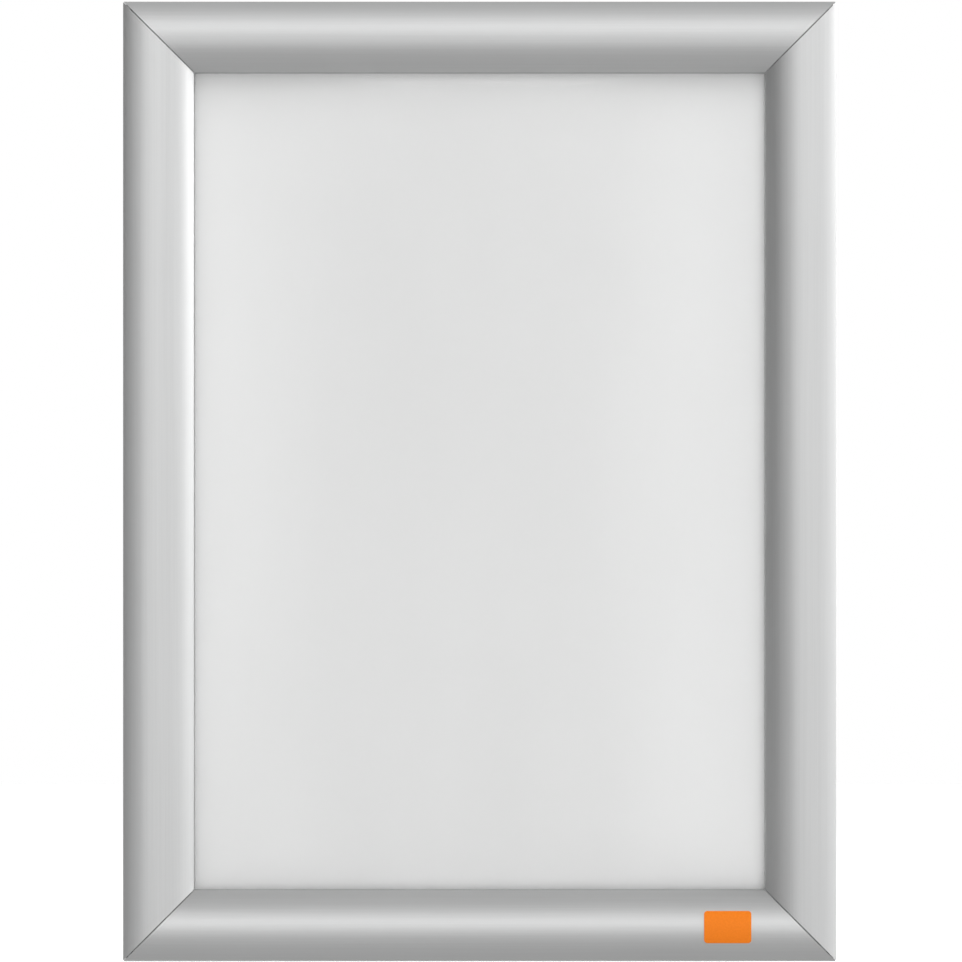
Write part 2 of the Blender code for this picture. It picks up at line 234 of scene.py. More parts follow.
@dataclass(frozen=True)
class Term:
    """A shader value that Python's operators turn into Math nodes."""

    tree: "ShaderTree"
    socket: NodeSocket

    def _math(self, operation: str, first: object, second: object) -> "Term":
        """Adds a Math node on two values."""
        made = self.tree.node("ShaderNodeMath", {"operation": operation}, {0: first, 1: second})
        return Term(self.tree, made.outputs[0])

    def __add__(self, other: object) -> "Term":
        """self + other."""
        return self._math("ADD", self, other)

    def __radd__(self, other: object) -> "Term":
        """other + self."""
        return self._math("ADD", other, self)

    def __sub__(self, other: object) -> "Term":
        """self - other."""
        return self._math("SUBTRACT", self, other)

    def __rsub__(self, other: object) -> "Term":
        """other - self."""
        return self._math("SUBTRACT", other, self)

    def __mul__(self, other: object) -> "Term":
        """self * other."""
        return self._math("MULTIPLY", self, other)

    def __rmul__(self, other: object) -> "Term":
        """other * self."""
        return self._math("MULTIPLY", other, self)

    def __pow__(self, other: object) -> "Term":
        """self ** other."""
        return self._math("POWER", self, other)

    def __rpow__(self, other: object) -> "Term":
        """other ** self."""
        return self._math("POWER", other, self)

    def largest(self, other: object) -> "Term":
        """The larger of self and other."""
        return self._math("MAXIMUM", self, other)


class ShaderTree:
    """The nodes of one material or world."""

    def __init__(self, owner: Material | World) -> None:
        """Turns the owner's nodes on and clears them."""
        owner.use_nodes = True
        self.tree = owner.node_tree
        self.tree.nodes.clear()

    def node(
        self,
        kind: str,
        settings: Mapping[str, object] | None = None,
        sockets: Mapping[str | int, object] | None = None,
    ) -> Node:
        """Adds a node.

        Args:
            kind: The node's type.
            settings: Its own settings, set before its sockets. "stops" sets a
                colour ramp's two stops as (place, colour) pairs.
            sockets: Values or links of its input sockets, by name or number.

        Returns:
            The new node.
        """
        made = self.tree.nodes.new(kind)
        for name, value in (settings or {}).items():
            if name == "stops":
                for element, (place, colour) in zip(made.color_ramp.elements, value):
                    element.position = place
                    element.color = (*colour, 1.0)
            else:
                setattr(made, name, value)
        for key, value in (sockets or {}).items():
            if isinstance(value, Term):
                value = value.socket
            if isinstance(value, NodeSocket):
                self.tree.links.new(value, made.inputs[key])
            else:
                made.inputs[key].default_value = value
        return made

    def noise(self, waves: float | Triple, detail: float = 2.0, roughness: float = 0.5) -> Term:
        """Adds a noise over the object's own coordinates.

        Args:
            waves: Waves to a metre along X, Y and Z, or one number for all three.
            detail: Octaves of finer noise.
            roughness: Share of the finer octaves.

        Returns:
            The noise, around 0.5.
        """
        scale = (waves,) * 3 if isinstance(waves, float) else waves
        coordinates = self.node("ShaderNodeTexCoord").outputs["Object"]
        mapping = self.node("ShaderNodeMapping", {}, {"Vector": coordinates, "Scale": scale})
        fineness = {"Scale": 1.0, "Detail": detail, "Roughness": roughness}
        sockets = {"Vector": mapping.outputs[0], **fineness}
        made = self.node("ShaderNodeTexNoise", {"noise_dimensions": "3D"}, sockets)
        return Term(self, made.outputs[0])

    def tones(self, factor: Term, dark: Colour, light: Colour, spread: float) -> NodeSocket:
        """Turns a value into a colour that is even beyond a spread round 0.5."""
        stops = ((0.5 - spread, dark), (0.5 + spread, light))
        return self.node("ShaderNodeValToRGB", {"stops": stops}, {0: factor}).outputs[0]

    def bump(self, height: Term, strength: float, distance: float) -> NodeSocket:
        """Adds a Bump node over a height and returns its normal."""
        sockets = {"Height": height, "Strength": strength, "Distance": distance}
        return self.node("ShaderNodeBump", {}, sockets).outputs[0]

    def looked_at(self) -> Term:
        """1 for what the camera, a mirror or a clear sheet looks at, and otherwise 0."""
        path = self.node("ShaderNodeLightPath").outputs
        kinds = ("Camera", "Glossy", "Transmission")
        camera, glossy, through = (Term(self, path[f"Is {kind} Ray"]) for kind in kinds)
        return camera.largest(glossy).largest(through)

    def mixed(self, factor: object, first: Node, second: Node) -> Node:
        """Adds a Mix Shader node between two shaders."""
        sockets = {0: factor, 1: first.outputs[0], 2: second.outputs[0]}
        return self.node("ShaderNodeMixShader", {}, sockets)

    def output(self, shader: Node, kind: str = "ShaderNodeOutputMaterial") -> None:
        """Links a shader to the tree's output."""
        self.node(kind, {}, {"Surface": shader.outputs[0]})

    def principled(self, sockets: Mapping[str | int, object]) -> Node:
        """Adds a Principled shader node."""
        return self.node("ShaderNodeBsdfPrincipled", {}, sockets)


@dataclass(frozen=True)
class Finish:
    """A surface finish, which makes its material once."""

    name: str

    def material(self) -> Material:
        """The finish's material, made at its first use."""
        found = bpy.data.materials.get(self.name)
        if found is None:
            found = bpy.data.materials.new(self.name)
            tree = ShaderTree(found)
            tree.output(self.dress(tree))
        return found

    def dress(self, tree: ShaderTree) -> Node:
        """Builds the finish's nodes in a tree and returns its shader."""
        raise NotImplementedError


@dataclass(frozen=True)
class DrawnMetal(Finish):
    """Metal with fine streaks along one way or none, slow clouds and a fine tooth.

    The streaks have the share streak_tone of the colour and streak_relief of the
    relief. The clouds have the rest of the colour, and the tooth the rest of the relief.
    """

    grain: Grain = Grain.NONE
    dark: Colour = (0.625, 0.629, 0.629)
    light: Colour = (0.655, 0.659, 0.659)
    spread: float = 0.15
    roughness: float = 0.41
    uneven: float = 0.025
    streak_width: float = 0.5 * MM
    streak_length: float = 90 * MM
    streak_tone: float = 0.7
    streak_relief: float = 0.6
    relief: float = 0.004 * MM
    bump: float = 0.35
    cloud_waves: float = 18.0
    tooth_waves: float = 5200.0

    def dress(self, tree: ShaderTree) -> Node:
        """Builds streaks, a finer tooth and slow clouds."""
        across, along = 1 / self.streak_width, 1 / self.streak_length
        waves = tuple(along if run else across for run in self.grain.value)
        streaks = tree.noise(waves, detail=3.0, roughness=0.6)
        clouds = tree.noise(self.cloud_waves)
        tooth = tree.noise(self.tooth_waves, detail=1.0)
        tone = streaks * self.streak_tone + clouds * (1 - self.streak_tone)
        roughness = self.roughness + (streaks - 0.5) * self.uneven + (clouds - 0.5) * self.uneven
        height = streaks * self.streak_relief + tooth * (1 - self.streak_relief)
        sockets = {
            "Base Color": tree.tones(tone, self.dark, self.light, self.spread),
            "Metallic": 1.0,
            "Roughness": roughness,
            "Normal": tree.bump(height, self.bump, self.relief),
        }
        return tree.principled(sockets)


@dataclass(frozen=True)
class SawnMetal(Finish):
    """The bright sawn face of a mitre, with the saw's marks across it."""

    dark: Colour = (0.60, 0.60, 0.60)
    light: Colour = (0.78, 0.78, 0.78)
    spread: float = 0.2
    mark_waves: Triple = (300.0, 6000.0, 300.0)
    smoothest: float = 0.3
    uneven: float = 0.2
    relief: float = 0.02 * MM
    bump: float = 0.5

    def dress(self, tree: ShaderTree) -> Node:
        """Builds close marks that run across the face."""
        marks = tree.noise(self.mark_waves)
        sockets = {
            "Base Color": tree.tones(marks, self.dark, self.light, self.spread),
            "Metallic": 1.0,
            "Roughness": self.smoothest + marks * self.uneven,
            "Normal": tree.bump(marks, self.bump, self.relief),
        }
        return tree.principled(sockets)


@dataclass(frozen=True)
class PanelPlastic(Finish):
    """Pale extruded sheet with a faint mottle and a fine tooth."""

    dark: Colour = (0.832, 0.834, 0.833)
    light: Colour = (0.852, 0.854, 0.853)
    spread: float = 0.2
    mottle_waves: Triple = (30.0, 30.0, 9.0)
    tooth_waves: float = 2600.0
    roughness: float = 0.55
    uneven: float = 0.1
    relief: float = 0.02 * MM
    bump: float = 0.2

    def dress(self, tree: ShaderTree) -> Node:
        """Builds the mottle, the tooth and a soft sheen."""
        mottle = tree.noise(self.mottle_waves, detail=3.0)
        tooth = tree.noise(self.tooth_waves)
        sockets = {
            "Base Color": tree.tones(mottle, self.dark, self.light, self.spread),
            "Roughness": self.roughness + (mottle - 0.5) * self.uneven,
            "Normal": tree.bump(tooth, self.bump, self.relief),
        }
        return tree.principled(sockets)


@dataclass(frozen=True)
class ClearFilm(Finish):
    """Clear sheet with an anti-glare surface that mirrors softly."""

    tint: Colour = (0.97, 0.98, 0.975)
    mirrored_straight: float = 0.06
    slant_power: int = 5
    smoothest: float = 0.07
    uneven: float = 0.02
    tooth_waves: float = 1500.0
    ripple_waves: Triple = (14.0, 14.0, 6.0)
    relief: float = 0.004 * MM
    bump: float = 0.05

    def dress(self, tree: ShaderTree) -> Node:
        """Builds a see-through sheet that mirrors more at a slant."""
        tooth = tree.noise(self.tooth_waves)
        ripples = tree.noise(self.ripple_waves, detail=1.0)
        facing = tree.node("ShaderNodeLayerWeight", {}, {"Blend": 0.5}).outputs["Facing"]
        slanting = Term(tree, facing) ** self.slant_power
        sockets = {
            "Base Color": (*self.tint, 1.0),
            "Metallic": 1.0,
            "Roughness": self.smoothest + tooth * self.uneven + ripples * self.uneven,
            "Alpha": slanting * (1 - self.mirrored_straight) + self.mirrored_straight,
            "Normal": tree.bump(tooth, self.bump, self.relief),
        }
        return tree.principled(sockets)


@dataclass(frozen=True)
class LabelVinyl(Finish):
    """Printed vinyl in one colour, with a satin face."""

    dark: Colour = (0.80, 0.192, 0.0075)
    light: Colour = (0.84, 0.21, 0.0105)
    spread: float = 0.15
    grain_waves: float = 1400.0
    peel_waves: float = 420.0
    roughness: float = 0.45
    uneven: float = 0.12
    specular: float = 0.14
    relief: float = 0.03 * MM
    bump: float = 0.15

    def dress(self, tree: ShaderTree) -> Node:
        """Builds a faint print grain under a satin face."""
        grain = tree.noise(self.grain_waves)
        peel = tree.noise(self.peel_waves, detail=1.0)
        sockets = {
            "Base Color": tree.tones(grain, self.dark, self.light, self.spread),
            "Roughness": self.roughness + (peel - 0.5) * self.uneven,
            "Specular IOR Level": self.specular,
            "Normal": tree.bump(peel, self.bump, self.relief),
        }
        return tree.principled(sockets)


@dataclass(frozen=True)
class StudioFloor(Finish):
    """Pale floor that reaches white where nothing shades it."""

    colour: Colour = (0.80, 0.80, 0.80)
    roughness: float = 0.9
    lift: float = 0.26

    def dress(self, tree: ShaderTree) -> Node:
        """Builds a matt floor, lifted for what looks straight at it, open from below."""
        sockets = {
            "Base Color": (*self.colour, 1.0),
            "Roughness": self.roughness,
            "Emission Color": tree.looked_at(),
            "Emission Strength": self.lift,
        }
        matt = tree.principled(sockets)
        clear = tree.node("ShaderNodeBsdfTransparent")
        below = tree.node("ShaderNodeNewGeometry").outputs["Backfacing"]
        return tree.mixed(below, matt, clear)


@dataclass(frozen=True)
class CardGlow(Finish):
    """Glow of a studio card, even or fading out sideways.

    Attributes:
        radiance: Its brightness.
        middle: Where its middle is, to the right.
        fade: Distance from its middle at which it has faded out, or 0.
    """

    radiance: float
    middle: float
    fade: float

    def dress(self, tree: ShaderTree) -> Node:
        """Builds the glow, and lets it fade where it is asked to."""
        sockets = {"Color": WHITE, "Strength": self.radiance}
        shader = tree.node("ShaderNodeEmission", {}, sockets)
        if self.fade:
            coordinates = tree.node("ShaderNodeTexCoord").outputs["Object"]
            apart = tree.node("ShaderNodeSeparateXYZ", {}, {0: coordinates}).outputs[0]
            share = 1.0 - ((Term(tree, apart) - self.middle) * (1 / self.fade)) ** 2
            shader = tree.mixed(share, tree.node("ShaderNodeBsdfTransparent"), shader)
        return shader


ANODISED = {
    grain: DrawnMetal(f"satin_anodised_{grain.name.lower()}", grain=grain)
    for grain in (Grain.LEVEL, Grain.UPRIGHT)
}
# Painted shade: a darker copy of the anodised finish for the lips' faces. It stands in for the
# shadow line that falls under the lip at the window's edge.
LIP_PAINTED_SHADE = {
    grain: replace(
        finish,
        name=f"lip_edge_{grain.name.lower()}",
        dark=(0.45, 0.453, 0.453),
        light=(0.475, 0.478, 0.478),
    )
    for grain, finish in ANODISED.items()
}
MILL = {
    grain: DrawnMetal(
        f"mill_aluminium_{grain.name.lower()}",
        grain=grain,
        dark=(0.55, 0.555, 0.56),
        light=(0.66, 0.665, 0.67),
        roughness=0.36,
        uneven=0.12,
        streak_width=0.35 * MM,
        streak_length=60 * MM,
        relief=0.012 * MM,
    )
    for grain in ANODISED
}
SAWN = SawnMetal("sawn_aluminium")
ZINC = DrawnMetal(
    "zinc_plate",
    dark=(0.50, 0.515, 0.54),
    light=(0.62, 0.63, 0.65),
    roughness=0.34,
    uneven=0.16,
    streak_width=3 * MM,
    relief=0.01 * MM,
)
SPRING_STEEL = DrawnMetal(
    "spring_steel",
    dark=(0.44, 0.45, 0.465),
    light=(0.52, 0.53, 0.545),
    roughness=0.3,
    uneven=0.06,
    streak_width=0.25 * MM,
    relief=0.002 * MM,
)


def only(kind: type, made: Sequence[object]) -> list[object]:
    """What is of one kind among what an operator made."""
    return [item for item in made if isinstance(item, kind)]


def all_of(bm: BMesh) -> list[object]:
    """Every vertex, edge and face of a mesh."""
    return [*bm.verts, *bm.edges, *bm.faces]


def round_corners(bm: BMesh, corners: Sequence[BMVert], radius: float, steps: int) -> None:
    """Rounds corners of a flat mesh, each with a number of edges."""
    bmesh.ops.bevel(
        bm,
        geom=corners,
        offset=radius,
        segments=steps,
        profile=0.5,
        affect="VERTICES",
        material=-1,
    )


class OutlinePen:
    """Draws a closed outline across a rail."""

    def __init__(self, start: Point) -> None:
        """Puts the pen on its first point."""
        self.bm = bmesh.new()
        self.first = self.bm.verts.new((0, *start))
        self.last = self.first
        self.rounded: list[tuple[BMVert, float]] = []

    def line(self, *points: Point) -> None:
        """Draws straight lines to points."""
        for point in points:
            made = bmesh.ops.extrude_vert_indiv(self.bm, verts=[self.last])
            self.last = made["verts"][0]
            self.last.co = (0, *point)

    def round_here(self, radius: float) -> None:
        """Has the corner under the pen rounded later."""
        self.rounded.append((self.last, radius))

    def corners(self, radius: float, *points: Point) -> None:
        """Draws lines to corners that are rounded later."""
        for point in points:
            self.line(point)
            self.round_here(radius)

    def arc(self, centre: Point, turn: float, steps: int) -> None:
        """Draws an arc round a centre, forwards if its turn is positive."""
        made = bmesh.ops.spin(
            self.bm, geom=[self.last], cent=(0, *centre), axis=(1, 0, 0), angle=turn, steps=steps
        )
        self.last = only(BMVert, made["geom_last"])[0]

    def face(self) -> BMFace:
        """Closes the outline, rounds its corners and fills it."""
        bmesh.ops.contextual_create(self.bm, geom=[self.last, self.first])
        bmesh.ops.contextual_create(self.bm, geom=self.bm.edges[:])
        for vert, radius in self.rounded:
            round_corners(self.bm, [vert], radius, CORNER_STEPS)
        return self.bm.faces[:][0]


def extruded(pen: OutlinePen, way: Sequence[float]) -> BMesh:
    """Draws an outline out into a solid.

    Args:
        pen: The finished outline.
        way: How far the outline is drawn along each axis.

    Returns:
        The solid's mesh.
    """
    made = bmesh.ops.extrude_face_region(pen.bm, geom=[pen.face()])
    bmesh.ops.translate(pen.bm, vec=way, verts=only(BMVert, made["geom"]))
    return pen.bm


def mitred(pen: OutlinePen, length: float, gap: float) -> BMesh:
    """Makes a bar that is mitred at both ends, with sawn faces.

    Args:
        pen: The outline across the bar.
        length: Length at the outer edge.
        gap: Room between two bars at a mitre.

    Returns:
        The bar's mesh in the rail frame.
    """
    bm = extruded(pen, (length, 0, 0))
    bmesh.ops.translate(bm, vec=(-length / 2, 0, 0), verts=bm.verts)
    reach = length / 2 - gap / sqrt(2)
    for end in (-1, 1):
        place = (end * reach, 0, 0)
        made = bmesh.ops.bisect_plane(
            bm, geom=all_of(bm), plane_co=place, plane_no=(end, 1, 0), clear_outer=True
        )
        cap = bmesh.ops.contextual_create(bm, geom=only(BMEdge, made["geom_cut"]))
        for face in cap["faces"]:
            face.material_index = SAWN_FINISH
    return bm


def wrapped(bm: BMesh, centre: Point, radius: float, middle: float) -> None:
    """Lays a flat sheet round a circle across a rail.

    Args:
        bm: The sheet, flat on z = 0, with y across the rail.
        centre: Centre of the circle.
        radius: Radius at which z = 0 lands.
        middle: Angle at which y = 0 lands.
    """
    for vert in bm.verts:
        angle = middle - vert.co.y / radius
        vert.co = (vert.co.x, *on_circle(centre, radius + vert.co.z, angle))


def rounded_sheet(width: float, depth: float, radius: float, cuts: int) -> BMesh:
    """Makes a flat sheet with round corners, cut into strips.

    Args:
        width: Size along x.
        depth: Size along y.
        radius: Radius of the corners.
        cuts: Number of cuts across y, which let the sheet bend.

    Returns:
        The sheet's mesh, flat on z = 0.
    """
    bm = bmesh.new()
    bmesh.ops.create_grid(bm, x_segments=1, y_segments=1, size=0.5)
    bmesh.ops.scale(bm, vec=(width, depth, 1), verts=bm.verts)
    round_corners(bm, bm.verts[:], radius, SHEET_CORNER_STEPS)
    for cut in range(1, cuts + 1):
        place = (0, depth * (cut / (cuts + 1) - 0.5), 0)
        bmesh.ops.bisect_plane(bm, geom=all_of(bm), plane_co=place, plane_no=(0, 1, 0))
    return bm


def thickened(bm: BMesh, thickness: float) -> None:
    """Gives a flat sheet its thickness, forwards from z = 0."""
    made = bmesh.ops.extrude_face_region(bm, geom=bm.faces[:])
    bmesh.ops.translate(bm, vec=(0, 0, thickness), verts=only(BMVert, made["geom"]))


def box(size: Sequence[float], middle: Sequence[float]) -> BMesh:
    """Makes a box of a size round its middle."""
    bm = bmesh.new()
    bmesh.ops.create_cube(bm, size=1)
    bmesh.ops.scale(bm, vec=size, verts=bm.verts)
    bmesh.ops.translate(bm, vec=middle, verts=bm.verts)
    return bm


def sunk_holes(
    radius: float, span: Point, mouth: float, sink: Point, places: Sequence[Point]
) -> list[BMesh]:
    """Makes the bodies of holes that run forwards, and of their sinks.

    Args:
        radius: Radius of the holes.
        span: Where they start and end, forwards from the wall.
        mouth: Radius of their sinks at the front.
        sink: Where the sinks start and end.
        places: Where their axes are.

    Returns:
        The meshes to cut away.
    """
    made = []
    for place in places:
        for (start, end), widest in ((span, radius), (sink, mouth)):
            bm = bmesh.new()
            bmesh.ops.create_cone(
                bm,
                cap_ends=True,
                segments=HOLE_SIDES,
                radius1=radius,
                radius2=widest,
                depth=end - start,
            )
            bmesh.ops.translate(bm, vec=(*place, (start + end) / 2), verts=bm.verts)
            made.append(bm)
    return made


def linked(name: str, data: ID) -> Object:
    """Puts data into the scene as an object."""
    made = bpy.data.objects.new(name, data)
    bpy.context.scene.collection.objects.link(made)
    return made


def as_object(name: str, bm: BMesh) -> Object:
    """Turns a mesh into an object of the scene."""
    mesh = bpy.data.meshes.new(name)
    bm.to_mesh(mesh)
    bm.free()
    return linked(name, mesh)


@dataclass
class Piece:
    """A piece on its way from a mesh to a dressed object.

    Attributes:
        name: Name of the piece.
        bm: Its mesh, in the frame's own axes.
        finishes: Its finishes, in the order of its faces' numbers.
        edge_radius: Radius that its sharp edges get, or 0.
        cutters: Meshes that are cut away from it.
        edge_steps: Number of faces in the round of an edge.
        smooth_angle: Largest bend between two faces that looks round.
    """

    name: str
    bm: BMesh
    finishes: tuple[Finish, ...]
    edge_radius: float = 0.0
    cutters: list[BMesh] = field(default_factory=list)
    edge_steps: int = 2
    smooth_angle: float = radians(32)

    def _smoothed(self, name: str, bm: BMesh) -> Object:
        """Turns a mesh into an object that looks round where it bends little."""
        bmesh.ops.recalc_face_normals(bm, faces=bm.faces)
        made = as_object(name, bm)
        made.data.shade_smooth()
        made.data.set_sharp_from_angle(angle=self.smooth_angle)
        return made

    def make(self) -> Object:
        """Cuts, rounds and dresses the piece.

        Returns:
            The finished object, with no modifier left on it.
        """
        made = self._smoothed(self.name, self.bm)
        for finish in self.finishes:
            made.data.materials.append(finish.material())
        tools = [self._smoothed(f"{self.name}_cut", bm) for bm in self.cutters]
        for tool in tools:
            boolean = made.modifiers.new(tool.name, "BOOLEAN")
            boolean.operation = "DIFFERENCE"
            boolean.solver = "EXACT"
            boolean.object = tool
        if self.edge_radius:
            bevel = made.modifiers.new("edges", "BEVEL")
            bevel.width = self.edge_radius
            bevel.segments = self.edge_steps
            bevel.limit_method = "ANGLE"
            bevel.angle_limit = self.smooth_angle
            bevel.harden_normals = True
        normals = made.modifiers.new("normals", "WEIGHTED_NORMAL")
        normals.keep_sharp = True
        depsgraph = bpy.context.evaluated_depsgraph_get()
        mesh = bpy.data.meshes.new_from_object(
            made.evaluated_get(depsgraph), preserve_all_data_layers=True, depsgraph=depsgraph
        )
        mesh.name = self.name
        made.modifiers.clear()
        made.data = mesh
        for tool in tools:
            bpy.data.objects.remove(tool)
        return made


@dataclass
class SnapRail:
    """The curved cover rail of one side, which hooks on its base rail's bead."""

    side: Side
    wall: float = 1.2 * MM
    mitre_gap: float = 0.34 * MM
    mitre_round: float = 0.06 * MM
    edge_round: float = 0.06 * MM
    lip_round: float = 0.12 * MM
    end_round: float = 0.15 * MM
    foot_reach: float = 0.42 * MM
    relief_overrun: float = 1 * MM
    crown_steps: int = 80
    under_steps: int = 64
    hook_outer_steps: int = 28
    hook_inner_steps: int = 40

    def outline(self) -> OutlinePen:
        """Draws the crown, the lip and the hook."""
        centre, radius = SIZES.crown_centre, SIZES.crown_radius
        lip = (SIZES.rail_width, SIZES.lip_back + SIZES.lip_height)
        lip_angle = angle_from(centre, lip)
        edge_angle = acos(-centre[0] / radius)
        lip_outer = SIZES.rail_width + self.foot_reach
        lip_inner = SIZES.rail_width - self.wall
        under = radius - self.wall
        under_start = acos((lip_inner - centre[0]) / under)
        crotch = crossing(centre, under, SIZES.hinge, SIZES.hook_outer_radius)
        crotch_turn = angle_from(centre, crotch) - under_start
        hook_turn = SIZES.hook_inner_end - angle_from(SIZES.hinge, crotch)
        inner_end = on_circle(SIZES.hinge, SIZES.hook_inner_radius, SIZES.hook_inner_end)
        back_turn = SIZES.hook_outer_end - SIZES.hook_inner_end
        pen = OutlinePen(on_circle(centre, radius, edge_angle))
        pen.round_here(self.edge_round)
        pen.arc(centre, lip_angle - edge_angle, self.crown_steps)
        pen.round_here(self.lip_round)
        pen.corners(self.end_round, (lip_outer, SIZES.lip_back), (lip_inner, SIZES.lip_back))
        pen.line(on_circle(centre, under, under_start))
        pen.arc(centre, crotch_turn, self.under_steps)
        pen.arc(SIZES.hinge, hook_turn, self.hook_outer_steps)
        pen.round_here(self.end_round)
        pen.corners(self.end_round, inner_end)
        pen.arc(SIZES.hinge, back_turn, self.hook_inner_steps)
        pen.round_here(self.end_round)
        return pen

    def reliefs(self) -> list[BMesh]:
        """Boxes that shorten the hook behind the hinge axis near both mitres."""
        reach = SIZES.channel_outer + self.mitre_gap / sqrt(2)
        depth = SIZES.hook_outer_radius + SIZES.fit_gap
        size = (reach + self.relief_overrun, 2 * depth, depth)
        boxes = []
        for end in (-1, 1):
            along = end * (self.side.length / 2 + self.relief_overrun - size[0] / 2)
            bm = box(size, (along, SIZES.hinge[0], SIZES.hinge[1] - depth / 2))
            bm.transform(self.side.place)
            boxes.append(bm)
        return boxes

    def build(self) -> Object:
        """Makes the rail and lets it ride on its own body."""
        bm = mitred(self.outline(), self.side.length, self.mitre_gap)
        # The lip's faces, which look towards the window, get the painted shade of the shadow line
        # under the lip.
        for face in bm.faces:
            if face.calc_center_median().y > SIZES.rail_width:
                face.material_index = PAINTED_SHADE_SLOT
        bm.transform(self.side.place)
        finishes = (ANODISED[self.side.grain], SAWN, LIP_PAINTED_SHADE[self.side.grain])
        name = f"snap_cover_{self.side.word}"
        made = Piece(name, bm, finishes, self.mitre_round, self.reliefs()).make()
        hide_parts(f"snap_rail_{self.side.word}")
        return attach(made, self.side.body)


@dataclass
class BaseRail:
    """The rail of one side that lies on the wall and carries everything else."""

    side: Side
    mitre_gap: float = 0.03 * MM
    setback: float = 0.2 * MM
    inner_setback: float = 0.6 * MM
    foot_wall: float = 1.2 * MM
    channel_lip: float = 1.5 * MM
    slot_front: float = 2.6 * MM
    shelf_front: float = 3.4 * MM
    stop_inner: float = 20.7 * MM
    rib_height: float = 1 * MM
    corner_round: float = 0.12 * MM
    rib_round: float = 0.24 * MM
    bead_steps: int = 56
    screw_radius: float = 2.25 * MM
    sink_radius: float = 4 * MM
    sink_floor: float = 0.25 * MM
    screw_from_corner: float = 45 * MM
    overrun: float = 0.5 * MM

    def outline(self) -> OutlinePen:
        """Draws the foot, key channel, panel slot, cover shelf, rib and bead."""
        outer, inner = SIZES.channel_outer, SIZES.channel_inner
        flange, web = SIZES.flange, SIZES.web_front
        foot_inner = self.setback + self.foot_wall
        hollow_front = web - self.foot_wall
        wall_outer = outer - SIZES.channel_wall
        slot_outer = inner + SIZES.channel_wall
        edge = SIZES.rail_width - self.inner_setback
        rib = web + self.rib_height
        hinge, neck, half = SIZES.hinge, SIZES.neck_angle, SIZES.neck / 2
        root_turn = asin(half / SIZES.bead_radius)
        bead_start = neck + root_turn - 2 * pi
        inner_side = on_circle(hinge, half, neck + pi / 2)
        outer_side = on_circle(hinge, half, neck - pi / 2)
        to_web = (web - inner_side[1]) / sin(neck)
        to_wall = (self.setback - outer_side[0]) / cos(neck)
        pen = OutlinePen((self.setback, 0))
        pen.round_here(self.corner_round)
        pen.corners(
            self.corner_round,
            (foot_inner, 0),
            (foot_inner, hollow_front),
            (wall_outer, hollow_front),
            (wall_outer, 0),
            (outer + self.channel_lip, 0),
            (outer + self.channel_lip, flange),
            (outer, flange),
            (outer, SIZES.channel_front),
            (inner, SIZES.channel_front),
            (inner, flange),
            (inner - self.channel_lip, flange),
            (inner - self.channel_lip, 0),
            (edge, 0),
            (edge, flange),
            (slot_outer, flange),
            (slot_outer, self.slot_front),
            (edge, self.slot_front),
            (edge, self.shelf_front),
            (self.stop_inner, self.shelf_front),
            (self.stop_inner, web),
            (slot_outer, web),
        )
        pen.corners(self.rib_round, (slot_outer, rib), (inner, rib))
        pen.corners(self.corner_round, (inner, web), on_circle(inner_side, to_web, neck))
        pen.line(on_circle(hinge, SIZES.bead_radius, bead_start))
        pen.arc(hinge, 2 * pi - 2 * root_turn, self.bead_steps)
        pen.corners(self.corner_round, on_circle(outer_side, to_wall, neck))
        return pen

    def screw_holes(self) -> list[BMesh]:
        """Bodies of the screw holes and of their sinks, on the level sides."""
        if not self.side.level:
            return []
        back = SIZES.channel_front - self.overrun
        front = SIZES.web_front + self.overrun
        sink_back = SIZES.channel_front + self.sink_floor
        across = (SIZES.channel_outer + SIZES.channel_inner) / 2
        slope = (self.sink_radius - self.screw_radius) / (SIZES.web_front - sink_back)
        mouth = self.screw_radius + slope * (front - sink_back)
        along = self.side.length / 2 - self.screw_from_corner
        places = ((-along, across), (along, across))
        holes = sunk_holes(self.screw_radius, (back, front), mouth, (sink_back, front), places)
        for hole in holes:
            hole.transform(self.side.place)
        return holes

    def build(self) -> Object:
        """Makes the rail and lets it ride on the base frame."""
        bm = mitred(self.outline(), self.side.length, self.mitre_gap)
        bm.transform(self.side.place)
        finishes = (MILL[self.side.grain], SAWN)
        name = f"base_profile_{self.side.word}"
        made = Piece(name, bm, finishes, cutters=self.screw_holes()).make()
        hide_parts(f"base_rail_{self.side.word}")
        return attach(made, "base_frame")


class Corner(Enum):
    """A corner of the frame: its turn, and the sides of the middle it lies on."""

    BOTTOM_LEFT = (0.0, -1, -1)
    BOTTOM_RIGHT = (-pi / 2, 1, -1)
    TOP_RIGHT = (pi, 1, 1)
    TOP_LEFT = (pi / 2, -1, 1)

    @property
    def word(self) -> str:
        """The corner's name inside piece names."""
        return self.name.lower()

    @property
    def place(self) -> Matrix:
        """Turns the corner's own axes into the frame's."""
        turn, right, up = self.value
        outer = Matrix.Translation((right * SIZES.width / 2, 0, up * SIZES.height / 2))
        return outer @ Matrix.Rotation(turn, 4, "Y") @ Matrix.Rotation(pi / 2, 4, "X")


